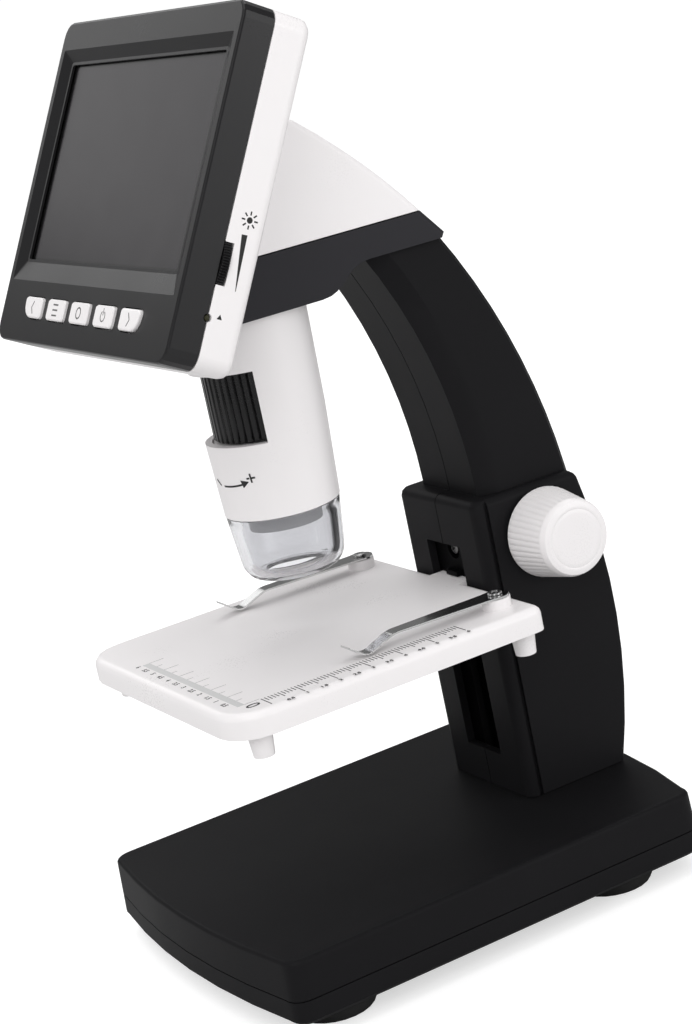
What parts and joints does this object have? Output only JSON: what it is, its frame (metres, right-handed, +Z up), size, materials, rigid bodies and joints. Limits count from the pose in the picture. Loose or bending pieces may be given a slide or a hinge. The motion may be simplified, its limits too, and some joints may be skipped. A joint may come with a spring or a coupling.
{
  "type": "lcd digital microscope",
  "caption": "Desk microscope with a tilted colour screen over a focusing tube, held by a curved dark column on a flat base, with a clipped stage that a side knob raises and lowers.",
  "frame": {"origin": "on the floor under the middle of the base, with the stand's centre plane at X = 0", "axes": "+Z up, +X to the right of someone facing the screen, +Y from the screen to the back of the stand"},
  "size_m": [0.1158, 0.1465, 0.2632],
  "materials": {
    "white_plastic": "satin moulded white",
    "black_plastic": "fine-grained near-black",
    "bezel_plastic": "smooth dark grey",
    "clear_plastic": "clear polished plastic",
    "screen_glass": "dark glossy screen",
    "lens_glass": "coated lens",
    "steel": "plated",
    "spring_steel": "polished",
    "ballast": "raw plate",
    "brass": "machined",
    "foot_rubber": "matte rubber",
    "circuit_board": "solder mask",
    "battery_foil": "foil pouch",
    "cable_film": "flat ribbon film"
  },
  "bodies": {
    "stand": {"ballast_plate": "ballast", "base_cover": "black_plastic", "base_shell": "black_plastic", "foot_front_left": "foot_rubber", "foot_front_right": "foot_rubber", "foot_rear_left": "foot_rubber", "foot_rear_right": "foot_rubber", "column_screw_left": "steel", "column_screw_right": "steel", "stand_left_shell": "black_plastic", "stand_right_shell": "black_plastic", "shell_screw_arm": "steel", "shell_screw_column": "steel", "shaft_bush": "brass", "neck_bracket": "steel", "neck_screw_left": "steel", "neck_screw_right": "steel", "head_housing": "black_plastic", "head_cover": "white_plastic", "tube_screw_left": "steel", "tube_screw_right": "steel", "tube_body": "white_plastic", "wheel_retainer": "white_plastic", "led_ring": "circuit_board", "clear_cap": "clear_plastic", "sensor_board": "circuit_board", "flat_cable": "cable_film", "display_bezel": "bezel_plastic", "display_rear_shell": "white_plastic", "lcd_panel": "screen_glass", "main_board": "circuit_board", "battery": "battery_foil", "button_board": "circuit_board", "dimmer": "black_plastic", "usb_socket": "steel", "display_screw_left": "steel", "display_screw_right": "steel", "case_screw_left": "steel", "case_screw_right": "steel"},
    "stage": {"stage_plate": "white_plastic", "rack_slider": "black_plastic", "slider_screw": "steel", "stage_screw": "steel", "clip_screw_left": "steel", "clip_screw_right": "steel"},
    "clip_left": {"clip_left": "spring_steel"},
    "clip_right": {"clip_right": "spring_steel"},
    "knob": {"height_knob": "white_plastic", "pinion_shaft": "steel", "pinion": "brass"},
    "focus_wheel": {"focus_wheel": "black_plastic"},
    "lens": {"lens_barrel": "black_plastic", "objective_lens": "lens_glass"},
    "button_left": {"button_left": "white_plastic"},
    "button_menu": {"button_menu": "white_plastic"},
    "button_enter": {"button_enter": "white_plastic"},
    "button_power": {"button_power": "white_plastic"},
    "button_right": {"button_right": "white_plastic"},
    "brightness_wheel": {"brightness_wheel": "black_plastic"},
    "reset_button": {"reset_button": "black_plastic"}
  },
  "joints": [
    {"name": "stage_lift", "type": "slide", "parent": "stand", "child": "stage", "axis": [0, 0, 1], "range_m": [-0.04, 0.008]},
    {"name": "knob_spin", "type": "hinge", "parent": "stand", "child": "knob", "pos_m": [0, 0.0538, 0.0991], "axis": [1, 0, 0], "range_deg": [-80, 385]},
    {"name": "clip_left_swivel", "type": "hinge", "parent": "stage", "child": "clip_left", "pos_m": [-0.038, 0.0245, 0.092], "axis": [0, 0, 1], "range_deg": [-25, 30]},
    {"name": "clip_right_swivel", "type": "hinge", "parent": "stage", "child": "clip_right", "pos_m": [0.038, 0.0245, 0.092], "axis": [0, 0, 1], "range_deg": [-30, 25]},
    {"name": "focus_spin", "type": "hinge", "parent": "stand", "child": "focus_wheel", "pos_m": [0, -0.0145, 0.157], "axis": [0, 0, 1], "range_deg": [-140, 140]},
    {"name": "lens_slide", "type": "slide", "parent": "stand", "child": "lens", "axis": [0, 0, 1], "range_m": [-0.0034, 0.0034]},
    {"name": "button_left_press", "type": "slide", "parent": "stand", "child": "button_left", "axis": [0, 0.8821, -0.471], "range_m": [0, 0.0007], "stiffness_N_per_m": 1000},
    {"name": "button_menu_press", "type": "slide", "parent": "stand", "child": "button_menu", "axis": [0, 0.8821, -0.471], "range_m": [0, 0.0007], "stiffness_N_per_m": 1000},
    {"name": "button_enter_press", "type": "slide", "parent": "stand", "child": "button_enter", "axis": [0, 0.8821, -0.471], "range_m": [0, 0.0007], "stiffness_N_per_m": 1000},
    {"name": "button_power_press", "type": "slide", "parent": "stand", "child": "button_power", "axis": [0, 0.8821, -0.471], "range_m": [0, 0.0007], "stiffness_N_per_m": 1000},
    {"name": "button_right_press", "type": "slide", "parent": "stand", "child": "button_right", "axis": [0, 0.8821, -0.471], "range_m": [0, 0.0007], "stiffness_N_per_m": 1000},
    {"name": "brightness_spin", "type": "hinge", "parent": "stand", "child": "brightness_wheel", "pos_m": [0.0472, -0.04236, 0.20284], "axis": [0, -0.8821, 0.471], "range_deg": [-140, 140]},
    {"name": "reset_press", "type": "slide", "parent": "stand", "child": "reset_button", "axis": [-1, 0, 0], "range_m": [0, 0.0004], "stiffness_N_per_m": 1000}
  ],
  "couplings": [
    {"joint": "knob_spin", "follows": "stage_lift", "rad_per_m": -166.67},
    {"joint": "lens_slide", "follows": "focus_spin", "m_per_rad": 0.00139}
  ]
}
